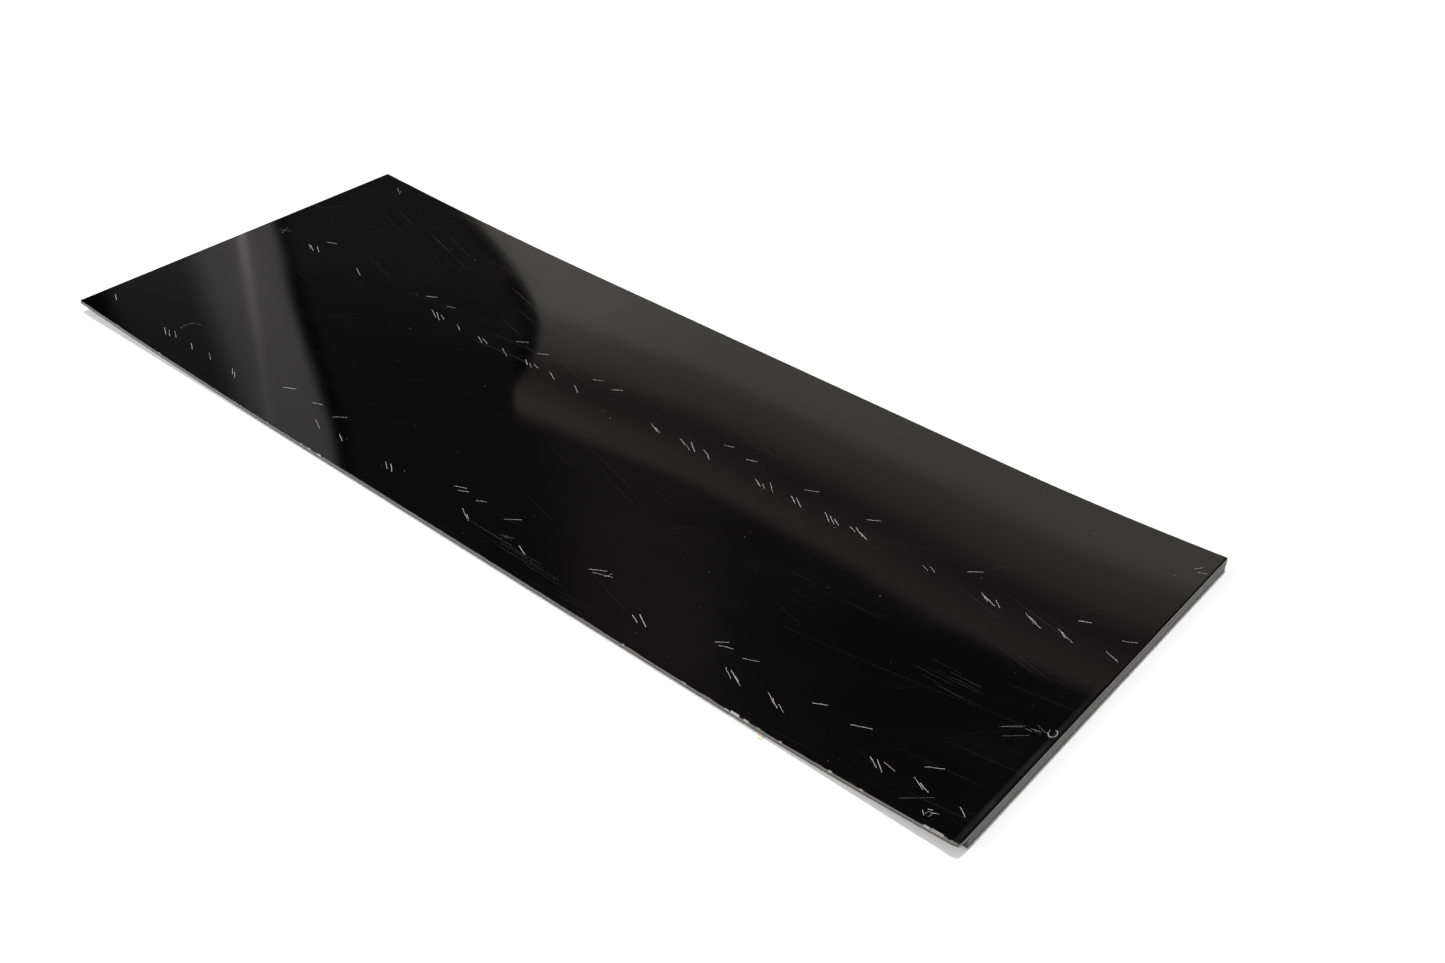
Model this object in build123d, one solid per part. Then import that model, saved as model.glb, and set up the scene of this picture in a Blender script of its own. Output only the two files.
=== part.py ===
from build123d import *
import math
import os

os.makedirs("parts", exist_ok=True)

# Kick plate lying on its back: X along its length, Y from the near long edge to the far one,
# Z up out of the finished face. The origin is on the surface it lies on, at the middle of the sheet.
# Sizes are in millimetres.

# Face sheet
SHEET_LENGTH = 812.8
SHEET_WIDTH = 304.8
SHEET_THICKNESS = 3.2
SHEET_ARRIS = 0.4

# The sheet is slack enough to drape: it lies flat in the middle and climbs to its end strips.
LEFT_LIFT = 276.0
RIGHT_LIFT = 171.0

# Stiffening strips bonded under the two short ends, stopping short of the near long edge
END_STRIP_HEIGHT = 7.5
LEFT_STRIP_DEPTH = 12.7
RIGHT_STRIP_DEPTH = 12.7
STRIP_NEAR_SETBACK = 9.0

# Foam mounting tape with its release liner, in rows along the length of the back
TAPE_WIDTH = 19.0
TAPE_THICKNESS = 1.0
TAPE_EDGE_SETBACK = 14.0
TAPE_END_CLEARANCE = 30.0
LINER_THICKNESS = 0.1
LINER_OVERHANG = 1.0

# Arcs that draw each lifted stretch: thin layers take several, so that flat facets of them fit closely
THICK_ARCS = 1
THIN_ARCS = 8

# Loose tail of the near liner, showing past the long edge
TAIL_END_SETBACK = 130.0
TAIL_WIDTH = 5.0
TAIL_REACH = 3.0

LEFT_END = -SHEET_LENGTH / 2
RIGHT_END = SHEET_LENGTH / 2
NEAR_EDGE = -SHEET_WIDTH / 2
FAR_EDGE = SHEET_WIDTH / 2
LEFT_LIFT_START = LEFT_END + LEFT_LIFT
RIGHT_LIFT_START = RIGHT_END - RIGHT_LIFT
UNDERSIDE = TAPE_THICKNESS + LINER_THICKNESS
END_RISE = END_STRIP_HEIGHT - UNDERSIDE
TAPE_LEFT = LEFT_END + LEFT_STRIP_DEPTH + TAPE_END_CLEARANCE
TAPE_RIGHT = RIGHT_END - RIGHT_STRIP_DEPTH - TAPE_END_CLEARANCE
NEAR_ROW = NEAR_EDGE + TAPE_EDGE_SETBACK + TAPE_WIDTH / 2
FAR_ROW = FAR_EDGE - TAPE_EDGE_SETBACK - TAPE_WIDTH / 2
TAPE_ROWS = {"near": NEAR_ROW, "middle": (NEAR_ROW + FAR_ROW) / 2, "far": FAR_ROW}
TAIL_MIDDLE = RIGHT_END - TAIL_END_SETBACK
ON_EDGE = 1e-3


def lift_radius(lift):
    """Radius of the sheet's underside where it climbs over the given length to an end strip."""
    return (lift**2 + END_RISE**2) / (2 * END_RISE)


def face_height(drop, x):
    """Height at x of the face that lies the given drop below the underside of the sheet."""
    if x < LEFT_LIFT_START:
        radius = lift_radius(LEFT_LIFT)
        reach = LEFT_LIFT_START - x
    elif x > RIGHT_LIFT_START:
        radius = lift_radius(RIGHT_LIFT)
        reach = x - RIGHT_LIFT_START
    else:
        return UNDERSIDE - drop
    return UNDERSIDE + radius - math.sqrt((radius + drop) ** 2 - reach**2)


def face_point(drop, x):
    return (x, face_height(drop, x))


def face_line(drop, left, right, arcs=THICK_ARCS):
    """Line along one face between two ends: arcs where the sheet climbs, straight between."""
    left_turns = [LEFT_END + LEFT_LIFT * step / arcs for step in range(1, arcs + 1)]
    right_turns = [RIGHT_END - RIGHT_LIFT * step / arcs for step in range(arcs, 0, -1)]
    turns = [x for x in left_turns + right_turns if left < x < right]
    stops = [left, *turns, right]
    line = []
    for start, end in zip(stops, stops[1:]):
        if start >= LEFT_LIFT_START and end <= RIGHT_LIFT_START:
            line.append(Line(face_point(drop, start), face_point(drop, end)))
        else:
            middle = face_point(drop, (start + end) / 2)
            line.append(ThreePointArc(face_point(drop, start), middle, face_point(drop, end)))
    return line


def swept_across(outline, near, far):
    """Solid with the given side outline, running across the plate from near to far."""
    side = Plane(origin=(0, far, 0), x_dir=(1, 0, 0), z_dir=(0, -1, 0))
    return extrude(side * make_face(outline), far - near)


def layer(top_drop, bottom_drop, ends, sides, arcs=THICK_ARCS):
    """Layer that follows the drape of the sheet, between its left and right ends and its two sides."""
    left, right = ends
    near, far = sides
    outline = face_line(top_drop, left, right, arcs) + face_line(bottom_drop, left, right, arcs)
    outline.append(Line(face_point(top_drop, left), face_point(bottom_drop, left)))
    outline.append(Line(face_point(top_drop, right), face_point(bottom_drop, right)))
    return swept_across(outline, near, far)


def on_finished_face(edge):
    at = edge @ 0.5
    return abs(at.Z - face_height(-SHEET_THICKNESS, at.X)) < ON_EDGE


def on_short_side(edge):
    return on_finished_face(edge) and abs(abs((edge @ 0.5).X) - RIGHT_END) < ON_EDGE


def on_long_side(edge):
    return on_finished_face(edge) and abs(abs((edge @ 0.5).Y) - FAR_EDGE) < ON_EDGE


def make_sheet():
    """Draped sheet with a small arris round its finished face, broken along one side at a time."""
    sheet = layer(-SHEET_THICKNESS, 0, (LEFT_END, RIGHT_END), (NEAR_EDGE, FAR_EDGE))
    sheet = chamfer(sheet.edges().filter_by(on_short_side), SHEET_ARRIS)
    return chamfer(sheet.edges().filter_by(on_long_side), SHEET_ARRIS)


def make_end_strip(left, right):
    """Bar with a flat foot and a top that fits the underside of the sheet."""
    outline = face_line(0, left, right)
    outline.append(Line(face_point(0, right), (right, 0)))
    outline.append(Line((right, 0), (left, 0)))
    outline.append(Line((left, 0), face_point(0, left)))
    return swept_across(outline, NEAR_EDGE + STRIP_NEAR_SETBACK, FAR_EDGE)


def make_tape(row):
    sides = (row - TAPE_WIDTH / 2, row + TAPE_WIDTH / 2)
    return layer(0, TAPE_THICKNESS, (TAPE_LEFT, TAPE_RIGHT), sides, THIN_ARCS)


def make_liner(row):
    ends = (TAPE_LEFT - LINER_OVERHANG, TAPE_RIGHT + LINER_OVERHANG)
    half = TAPE_WIDTH / 2 + LINER_OVERHANG
    return layer(TAPE_THICKNESS, UNDERSIDE, ends, (row - half, row + half), THIN_ARCS)


def make_tail():
    """Tail of the near liner, from inside the liner's edge to past the sheet's long edge."""
    ends = (TAIL_MIDDLE - TAIL_WIDTH / 2, TAIL_MIDDLE + TAIL_WIDTH / 2)
    return layer(TAPE_THICKNESS, UNDERSIDE, ends, (NEAR_EDGE - TAIL_REACH, NEAR_ROW), THIN_ARCS)


def make_parts():
    parts = {
        "face_sheet": make_sheet(),
        "end_strip_left": make_end_strip(LEFT_END, LEFT_END + LEFT_STRIP_DEPTH),
        "end_strip_right": make_end_strip(RIGHT_END - RIGHT_STRIP_DEPTH, RIGHT_END),
    }
    for name, row in TAPE_ROWS.items():
        parts["mounting_tape_" + name] = make_tape(row)
        parts["release_liner_" + name] = make_liner(row)
    parts["release_liner_near"] += make_tail()
    return parts


for node, shape in make_parts().items():
    shape.label = node
    export_step(shape, "parts/" + node + ".step")
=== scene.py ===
import math

import bpy
import numpy as np
from bpy.props import (
    FloatProperty,
    FloatVectorProperty,
    IntProperty,
    PointerProperty,
    StringProperty,
)
from bpy.types import Operator, Panel, PropertyGroup
from mathutils import Matrix, Vector


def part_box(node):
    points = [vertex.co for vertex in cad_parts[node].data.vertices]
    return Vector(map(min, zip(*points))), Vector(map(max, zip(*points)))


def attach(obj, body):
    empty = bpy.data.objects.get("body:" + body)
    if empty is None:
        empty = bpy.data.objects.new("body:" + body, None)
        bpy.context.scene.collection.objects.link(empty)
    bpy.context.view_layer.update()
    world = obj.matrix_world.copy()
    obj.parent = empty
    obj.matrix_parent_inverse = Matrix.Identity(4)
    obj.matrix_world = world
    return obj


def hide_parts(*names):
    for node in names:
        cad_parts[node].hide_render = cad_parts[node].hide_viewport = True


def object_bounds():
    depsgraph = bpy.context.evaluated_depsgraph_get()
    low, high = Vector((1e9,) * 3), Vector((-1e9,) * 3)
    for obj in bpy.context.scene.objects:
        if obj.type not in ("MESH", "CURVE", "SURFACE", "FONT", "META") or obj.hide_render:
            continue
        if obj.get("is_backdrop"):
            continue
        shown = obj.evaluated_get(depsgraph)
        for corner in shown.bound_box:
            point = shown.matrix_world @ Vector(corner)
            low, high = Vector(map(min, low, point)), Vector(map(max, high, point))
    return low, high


bl_info = {
    "name": "Kick Plate",
    "version": (1, 0, 0),
    "blender": (4, 5, 0),
    "location": "View3D > Sidebar > Kick Plate",
    "description": "Builds a draped gloss kick plate with its strips and tapes, and a plain studio",
    "category": "Object",
}

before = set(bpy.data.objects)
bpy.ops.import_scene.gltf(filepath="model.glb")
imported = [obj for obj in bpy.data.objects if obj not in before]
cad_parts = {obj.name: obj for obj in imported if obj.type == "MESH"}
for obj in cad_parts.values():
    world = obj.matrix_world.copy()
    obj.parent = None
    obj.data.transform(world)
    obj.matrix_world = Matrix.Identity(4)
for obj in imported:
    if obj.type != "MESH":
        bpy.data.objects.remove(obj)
CAD_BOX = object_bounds()
SHEET_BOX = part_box("face_sheet")
LEFT_STRIP_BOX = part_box("end_strip_left")
TAPE_NODES = ("mounting_tape_near", "mounting_tape_middle", "mounting_tape_far")
LINER_NODES = ("release_liner_near", "release_liner_middle", "release_liner_far")
BODY = "root"

MM = 0.001
PLASTIC_IOR = 1.5
CLEAR_OF_SHEET = 0.1  # height above or below it from which a piece is laid on the sheet

# Side screen: a card that stands to the left, whose right-hand side is a shallow bow
SCREEN_TURN = math.radians(-56)
SCREEN_AWAY = 4.0
SCREEN_LEFT = -1.3
SCREEN_FOOT, SCREEN_TOP = 1.7, 3.4
BOW_HEIGHT, BOW_SIDE = 2.305, 0.553
BOW_BELOW, BOW_ABOVE = 2.6, 1.3
BOW_REACH = 0.3

# Back wall: a flat card beyond the plate
WALL_AWAY = 3.0
WALL_LEFT, WALL_RIGHT = -4.6, 2.2
WALL_FOOT, WALL_TOP = 0.8, 4.2

# Material slots of the sheet, and its sawn walls: how far down each ring of points lies, as a
# share of the thickness, and how many millimetres it is sawn in
GLOSS, SAWN, SATIN = range(3)
WALL_STEPS = ((0.06, 0.0), (0.22, 0.02), (0.45, 0.03), (0.7, 0.02), (0.9, 0.05), (1.0, 0.16))

FLOOR_HALF = 30.0
FLOOR_LEVEL = -0.05 * MM


# ---------------------------------------------------------------------------
# Node trees
# ---------------------------------------------------------------------------


class Shade:
    """One output of a node, which can stand in sums like a number."""

    def __init__(self, maker, socket):
        self.maker = maker
        self.socket = socket

    def maths(self, operation, *terms):
        return self.maker.node(
            "ShaderNodeMath", {"operation": operation}, dict(enumerate(terms))
        )[0]

    def __add__(self, other):
        return self.maths("ADD", self, other)

    def __radd__(self, other):
        return self.maths("ADD", other, self)

    def __sub__(self, other):
        return self.maths("SUBTRACT", self, other)

    def __rsub__(self, other):
        return self.maths("SUBTRACT", other, self)

    def __mul__(self, other):
        return self.maths("MULTIPLY", self, other)

    def __rmul__(self, other):
        return self.maths("MULTIPLY", other, self)

    def __truediv__(self, other):
        return self.maths("DIVIDE", self, other)

    def __rtruediv__(self, other):
        return self.maths("DIVIDE", other, self)

    def __pow__(self, other):
        return self.maths("POWER", self, other)

    def __gt__(self, other):
        return self.maths("GREATER_THAN", self, other)

    def __lt__(self, other):
        return self.maths("LESS_THAN", self, other)

    def __abs__(self):
        return self.maths("ABSOLUTE", self)

    def at_least(self, other):
        return self.maths("MAXIMUM", self, other)

    def at_most(self, other):
        return self.maths("MINIMUM", self, other)

    def rise(self, start, end, low=0.0, high=1.0):
        """Smooth step from low to high as this value goes from start to end."""
        return self.maker.node(
            "ShaderNodeMapRange",
            {"interpolation_type": "SMOOTHSTEP"},
            {
                "Value": self,
                "From Min": start,
                "From Max": end,
                "To Min": low,
                "To Max": high,
            },
        )["Result"]


class Made:
    """A node that has been added, whose outputs are taken by name or number."""

    def __init__(self, maker, node):
        self.maker = maker
        self.built = node

    def __getitem__(self, key):
        return Shade(self.maker, self.built.outputs[key])


class Maker:
    """Adds nodes to one tree."""

    def __init__(self, tree):
        self.tree = tree

    def node(self, kind, settings=None, values=None):
        made = self.tree.nodes.new(kind)
        for name, value in (settings or {}).items():
            setattr(made, name, value)
        for key, value in (values or {}).items():
            self.put(made.inputs[key], value)
        return Made(self, made)

    def put(self, socket, value):
        if isinstance(value, Shade):
            self.tree.links.new(value.socket, socket)
        else:
            socket.default_value = value

    # Shader helpers

    def place(self):
        return self.node("ShaderNodeTexCoord")["Object"]

    def axes(self, vector):
        parts = self.node("ShaderNodeSeparateXYZ", {}, {0: vector})
        return parts[0], parts[1], parts[2]

    def vector(self, x=0.0, y=0.0, z=0.0):
        return self.node("ShaderNodeCombineXYZ", {}, {0: x, 1: y, 2: z})[0]

    def attribute(self, name):
        return self.node("ShaderNodeAttribute", {"attribute_name": name})["Fac"]

    def turned(self, vector, scale=(1.0, 1.0, 1.0), turn=0.0):
        """The vector in axes turned about Z, then scaled along those axes."""
        return self.node(
            "ShaderNodeMapping",
            {"vector_type": "TEXTURE"},
            {
                "Vector": vector,
                "Rotation": (0.0, 0.0, turn),
                "Scale": tuple(1.0 / part for part in scale),
            },
        )["Vector"]

    def noise(self, vector, scale, detail=3.0, rough=0.55, twist=0.0):
        return self.node(
            "ShaderNodeTexNoise",
            {"noise_dimensions": "3D"},
            {
                "Vector": vector,
                "Scale": scale,
                "Detail": detail,
                "Roughness": rough,
                "Distortion": twist,
            },
        )["Fac"]

    def mix(self, share, first, second):
        return self.node(
            "ShaderNodeMix",
            {"data_type": "RGBA"},
            {0: share, 6: first, 7: second},
        )[2]

    def scaled(self, colour, share):
        """A colour multiplied by a value."""
        return self.node(
            "ShaderNodeVectorMath", {"operation": "SCALE"}, {"Vector": colour, "Scale": share}
        )["Vector"]

    def bump(self, height, distance, strength=1.0):
        return self.node(
            "ShaderNodeBump",
            {},
            {"Height": height, "Distance": distance, "Strength": strength},
        )["Normal"]


def new_material(name):
    """An empty material and the maker of its nodes."""
    material = bpy.data.materials.new(name)
    material.use_nodes = True
    material.node_tree.nodes.clear()
    return material, Maker(material.node_tree)


def finish_surface(maker, values):
    surface = maker.node("ShaderNodeBsdfPrincipled", {}, values)
    output = maker.node("ShaderNodeOutputMaterial")
    maker.put(output.built.inputs["Surface"], surface["BSDF"])


def grey(level, warmth=0.0):
    return (level * (1 + warmth), level, level * (1 - warmth), 1.0)


def scratches(maker, spot, turn, spacing, reach, keep):
    """Fine scratches that run one way: a noise drawn out along them and cut to broken lines."""
    drawn = maker.turned(spot, (1.0 / reach, 1.0 / spacing, 1.0), turn)
    lines = maker.noise(drawn, 1.0, 2.0, 0.6)
    patches = maker.noise(maker.turned(spot, (7.0, 16.0, 7.0), turn), 1.0, 2.0)
    return lines.rise(keep, keep + 0.05) * patches.rise(0.44, 0.62)


def gloss_material(sheet):
    """Polished black face with haze, wiping marks, hairlines and whitened bruises."""
    material, maker = new_material("gloss_black")
    spot = maker.place()
    wear = maker.attribute("wear")
    haze = maker.noise(spot, 7.0, 3.0, 0.5).rise(0.42, 0.75)
    wiping = maker.noise(
        maker.turned(spot, (5.0, 38.0, 5.0), math.radians(24)), 1.0, 4.0
    ).rise(0.5, 0.78)
    dust = maker.noise(spot, 1900.0, 2.0, 0.6).rise(0.66, 0.82)
    along = scratches(maker, spot, math.radians(5), 1.0 * MM, 0.16, 0.68)
    falling = scratches(maker, spot, math.radians(-15.5), 1.3 * MM, 0.22, 0.665)
    steep = scratches(maker, spot, math.radians(52), 1.2 * MM, 0.10, 0.70)
    hairlines = along.at_least(falling).at_least(steep)
    film = (haze * 0.35 + wiping * 0.4 + dust * 0.9).at_most(1.0)
    tone = maker.mix(film, tuple(sheet.face_colour), grey(0.0024, 0.02))
    tone = maker.mix(hairlines * 0.5, tone, grey(0.016, 0.02))
    tone = maker.mix(wear, tone, grey(0.36, 0.02))
    rough = (
        sheet.face_roughness
        + haze * 0.012
        + wiping * 0.018
        + dust * 0.05
        + hairlines * 0.17
        + wear * 0.5
    )
    ripple = maker.noise(spot, 14.0, 2.0, 0.5)
    height = ripple * 0.10 - hairlines * 0.06 + dust * 0.012
    finish_surface(
        maker,
        {
            "Base Color": tone,
            "Roughness": rough,
            "IOR": PLASTIC_IOR,
            "Normal": maker.bump(height, 0.00012),
        },
    )
    return material


def sawn_material(name, edge, lift=1.0, painted_highlight_and_shade=False):
    """Sawn plastic edge: dull grey-black with saw strokes across it and scuffs along it."""
    material, maker = new_material(name)
    spot = maker.place()
    strokes = maker.noise(
        maker.turned(spot, (1500.0, 1500.0, 90.0), math.radians(7)), 1.0, 3.0, 0.6
    )
    draws = maker.noise(maker.turned(spot, (14.0, 14.0, 2600.0)), 1.0, 3.0, 0.6)
    blotches = maker.noise(spot, 55.0, 4.0, 0.55)
    wear = maker.attribute("wear")
    mask = (
        strokes.rise(0.35, 0.68) * 0.45
        + draws.rise(0.4, 0.7) * 0.35
        + blotches.rise(0.35, 0.7) * 0.35
    )
    dark = tuple(channel * lift for channel in edge.edge_dark[:3]) + (1.0,)
    pale = tuple(channel * lift for channel in edge.edge_pale[:3]) + (1.0,)
    tone = maker.mix(mask.at_most(1.0), dark, pale)
    if painted_highlight_and_shade:
        # Painted highlight and painted shade: the upper part of the edge is painted paler for the
        # glint along its arris, and the lower part darker for the shade under the sheet
        rise = maker.attribute("rise")
        tone = maker.mix(rise.rise(0.55, 1.0, 0.0, 0.55), tone, grey(0.16, 0.02))
        tone = maker.mix(rise.rise(0.52, 0.06, 0.0, 0.82), tone, grey(0.012))
    else:
        # Painted shade: the strips darken over their lowest 2.4 mm towards the floor, for the
        # contact shadow at their foot
        height_up = maker.axes(spot)[2]
        tone = maker.mix(height_up.rise(2.4 * MM, 0.9 * MM, 0.0, 0.8), tone, grey(0.012))
    tone = maker.mix(wear * 0.85, tone, grey(0.42, 0.02))
    height = strokes * 0.5 + draws * 0.5
    finish_surface(
        maker,
        {
            "Base Color": tone,
            "Roughness": edge.edge_roughness + mask * 0.14,
            "IOR": PLASTIC_IOR,
            "Normal": maker.bump(height, 0.00005),
        },
    )
    return material


def satin_material():
    """Back of the sheet: unpolished satin black with a fine grain and rubbed patches."""
    material, maker = new_material("satin_back")
    spot = maker.place()
    grain = maker.noise(spot, 2600.0, 3.0, 0.6)
    rubbed = maker.noise(spot, 12.0, 4.0, 0.6).rise(0.45, 0.75)
    tone = maker.mix(grain.rise(0.3, 0.7), grey(0.008), grey(0.019))
    tone = maker.mix(rubbed * 0.5, tone, grey(0.03, 0.02))
    finish_surface(
        maker,
        {
            "Base Color": tone,
            "Roughness": 0.36 + rubbed * 0.12 + grain * 0.06,
            "IOR": PLASTIC_IOR,
            "Normal": maker.bump(grain, 0.00003),
        },
    )
    return material


def foam_material():
    """Closed-cell foam tape: charcoal with fine pores."""
    material, maker = new_material("foam_tape")
    spot = maker.place()
    cells = maker.node(
        "ShaderNodeTexVoronoi",
        {"feature": "F1"},
        {"Vector": spot, "Scale": 2300.0, "Randomness": 1.0},
    )["Distance"]
    pores = cells.rise(0.1, 0.55)
    drift = maker.noise(spot, 60.0, 3.0)
    tone = maker.mix(pores, grey(0.018), grey(0.05, 0.01))
    tone = maker.mix(drift.rise(0.4, 0.7) * 0.4, tone, grey(0.07, 0.02))
    finish_surface(
        maker,
        {
            "Base Color": tone,
            "Roughness": 0.82 + pores * 0.1,
            "Normal": maker.bump(pores, 0.00009),
        },
    )
    return material


def liner_material(tape):
    """Waxed paper release liner: pale cream with fibres, creases and a soft sheen."""
    material, maker = new_material("waxed_liner")
    spot = maker.place()
    fibres = maker.noise(
        maker.turned(spot, (900.0, 2600.0, 900.0), math.radians(15)), 1.0, 4.0, 0.65
    )
    creases = maker.noise(spot, 120.0, 3.0, 0.6, 1.5).rise(0.52, 0.6)
    stain = maker.noise(spot, 25.0, 3.0).rise(0.4, 0.75)
    cream = tuple(tape.liner_colour)
    shaded = tuple(c * 0.84 for c in tape.liner_colour[:3]) + (1.0,)
    tone = maker.mix(fibres.rise(0.35, 0.7) * 0.6, cream, shaded)
    tone = maker.mix(stain * 0.25, tone, (0.62, 0.52, 0.36, 1.0))
    finish_surface(
        maker,
        {
            "Base Color": tone,
            "Roughness": 0.34 + fibres * 0.16,
            "IOR": 1.45,
            "Normal": maker.bump(fibres * 0.4 + creases * 0.6, 0.00004),
        },
    )
    return material


def burr_material(marks):
    """Whitened burr of a scratch: powdery grey, uneven along its length."""
    material, maker = new_material("whitened_burr")
    spot = maker.place()
    powder = maker.noise(spot, 1400.0, 4.0, 0.65)
    drift = maker.noise(spot, 160.0, 2.0)
    pale = tuple(marks.burr_colour)
    dull = tuple(c * 0.5 for c in marks.burr_colour[:3]) + (1.0,)
    share = (powder.rise(0.4, 0.62) * 0.6 + drift.rise(0.35, 0.65) * 0.4).at_most(1.0)
    girth = maker.attribute("girth")
    tone = maker.mix(girth.rise(0.1, 0.6), grey(0.05), maker.mix(share, dull, pale))
    finish_surface(
        maker,
        {
            "Base Color": tone,
            "Roughness": 0.46 + powder * 0.25,
            "Normal": maker.bump(powder, 0.00003),
        },
    )
    return material


def dust_material():
    """Specks of lint and swarf, from grey to nearly white."""
    material, maker = new_material("dust")
    spot = maker.place()
    tone = maker.mix(
        maker.noise(spot, 60.0, 2.0).rise(0.35, 0.65), grey(0.05, 0.05), grey(0.3, 0.04)
    )
    finish_surface(
        maker, {"Base Color": tone, "Roughness": 0.8 + maker.noise(spot, 500.0) * 0.1}
    )
    return material


def floor_material(stage):
    """Matt white sweep that brightens with distance, so that it runs into the backdrop."""
    material, maker = new_material("studio_floor")
    spot = maker.place()
    across, back, _ = maker.axes(spot)
    away = (across * across + back * back) ** 0.5
    grain = maker.noise(spot, 300.0, 2.0)
    tone = maker.mix(grain, tuple(stage.floor_colour), grey(stage.floor_colour[1] * 1.01))
    finish_surface(
        maker,
        {
            "Base Color": tone,
            "Specular IOR Level": 0.0,
            "Roughness": 1.0,
            "Emission Color": maker.scaled((1.0, 1.0, 1.0), away.rise(1.6, 5.0)),
            "Emission Strength": 1.0,
        },
    )
    return material


# ---------------------------------------------------------------------------
# Meshes
# ---------------------------------------------------------------------------


def mesh_object(name, points, faces, materials=(), uses=None):
    mesh = bpy.data.meshes.new(name)
    mesh.from_pydata([tuple(map(float, p)) for p in points], [], faces)
    for material in materials:
        mesh.materials.append(material)
    if uses is not None:
        mesh.polygons.foreach_set("material_index", uses)
    mesh.update()
    made = bpy.data.objects.new(name, mesh)
    bpy.context.scene.collection.objects.link(made)
    return made


def add_attribute(mesh, name, values):
    layer = mesh.attributes.new(name, "FLOAT", "POINT")
    layer.data.foreach_set("value", np.asarray(values, dtype=np.float32))


def stations(start, stop, step, spans=()):
    """Places from start to stop, closer together in the given (from, to, step) spans."""
    places = [start]
    while places[-1] < stop - 1e-9:
        here = places[-1]
        gap = min([s for a, b, s in spans if a - step <= here <= b] + [step])
        places.append(min(here + gap, stop))
    if len(places) > 2 and places[-1] - places[-2] < 0.3 * step:
        places.pop(-2)
    return places


def wander(places, seed, pitch):
    """Smooth seeded wander between -1 and 1 along a line, with bumps about a pitch long."""
    places = np.asarray(places, dtype=float)
    dice = np.random.default_rng(seed)
    total = np.zeros_like(places)
    weight = 0.0
    for octave in range(4):
        share = 0.55**octave
        angle = dice.uniform(0, 2 * math.pi, 3)
        for turn in angle:
            wave = pitch / (1.7**octave) * dice.uniform(0.8, 1.25)
            total += share * np.sin(places * 2 * math.pi / wave + turn)
            weight += share * 0.6
    return np.clip(total / weight, -1, 1)


def drape(sheet, drop, along):
    """Height of the face that lies the given drop below the underside of the sheet."""
    along = np.asarray(along, dtype=float)
    low, high = SHEET_BOX
    rise = sheet.strip_height - sheet.underside
    height = np.full_like(along, sheet.underside - drop)
    for lift, reach in (
        (sheet.left_lift, low.x + sheet.left_lift - along),
        (sheet.right_lift, along - high.x + sheet.right_lift),
    ):
        radius = (lift**2 + rise**2) / (2 * rise)
        up = reach > 0
        height[up] = (
            sheet.underside + radius - np.sqrt((radius + drop) ** 2 - reach[up] ** 2)
        )
    return height


def rounding(radius, inset):
    """Drop of a rounded arris at a distance in from its edge."""
    gap = np.clip(radius - np.asarray(inset), 0, radius)
    return radius - np.sqrt(np.maximum(radius**2 - gap**2, 0))


def ring_of(count_x, count_y):
    """Indices of the border of a grid, once round, anticlockwise seen from above."""
    near = [(i, 0) for i in range(count_x - 1)]
    right = [(count_x - 1, j) for j in range(count_y - 1)]
    far = [(i, count_y - 1) for i in range(count_x - 1, 0, -1)]
    left = [(0, j) for j in range(count_y - 1, 0, -1)]
    return near + right + far + left


class Bruise:
    """Damage at one place on the rim of the sheet."""

    def __init__(self, middle, reach, depth, white):
        self.middle = middle
        self.reach = reach
        self.depth = depth
        self.white = white


def near_edge_bruises():
    """Chips and rubbed stretches along the near arris, in metres."""
    dice = np.random.default_rng(41)
    chips = [
        Bruise(0.3925, 0.0040, 0.6 * MM, 0.5),
        Bruise(0.3865, 0.0022, 0.4 * MM, 0.6),
        Bruise(0.2580, 0.0035, 0.6 * MM, 0.8),
        Bruise(0.2660, 0.0018, 0.4 * MM, 0.7),
        Bruise(-0.1120, 0.0020, 0.3 * MM, 0.7),
    ]
    for _ in range(16):
        chips.append(
            Bruise(
                dice.uniform(-0.38, 0.38),
                dice.uniform(0.6, 1.8) * MM,
                dice.uniform(0.05, 0.22) * MM,
                dice.uniform(0.25, 0.7),
            )
        )
    return chips


def sheet_columns(low, high, bruises):
    """Stations along the sheet: close at both ends and where the arris is chipped."""
    ends = [0, 0.08, 0.2, 0.38, 0.6, 0.85, 1.1, 1.6, 2.4, 3.6]
    spans = [(b.middle - b.reach * 1.6, b.middle + b.reach * 1.6, 0.5 * MM) for b in bruises]
    spans.append((high - 0.012, high, 0.7 * MM))
    inner = stations(low + 5 * MM, high - 5 * MM, 4 * MM, spans)
    return (
        [low + e * MM for e in ends]
        + inner
        + [high - e * MM for e in reversed(ends)]
    )


def sheet_rows(low, high):
    """Stations across the sheet: close at both long sides."""
    near = [0, 0.05, 0.12, 0.22, 0.34, 0.5, 0.75, 1.1, 1.7, 2.6, 4.2, 7, 12]
    far = [0, 0.06, 0.15, 0.28, 0.45, 0.9, 2, 5, 11]
    inner = stations(low + 18 * MM, high - 18 * MM, 7 * MM)
    return (
        [low + n * MM for n in near]
        + inner
        + [high - f * MM for f in reversed(far)]
    )


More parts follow.
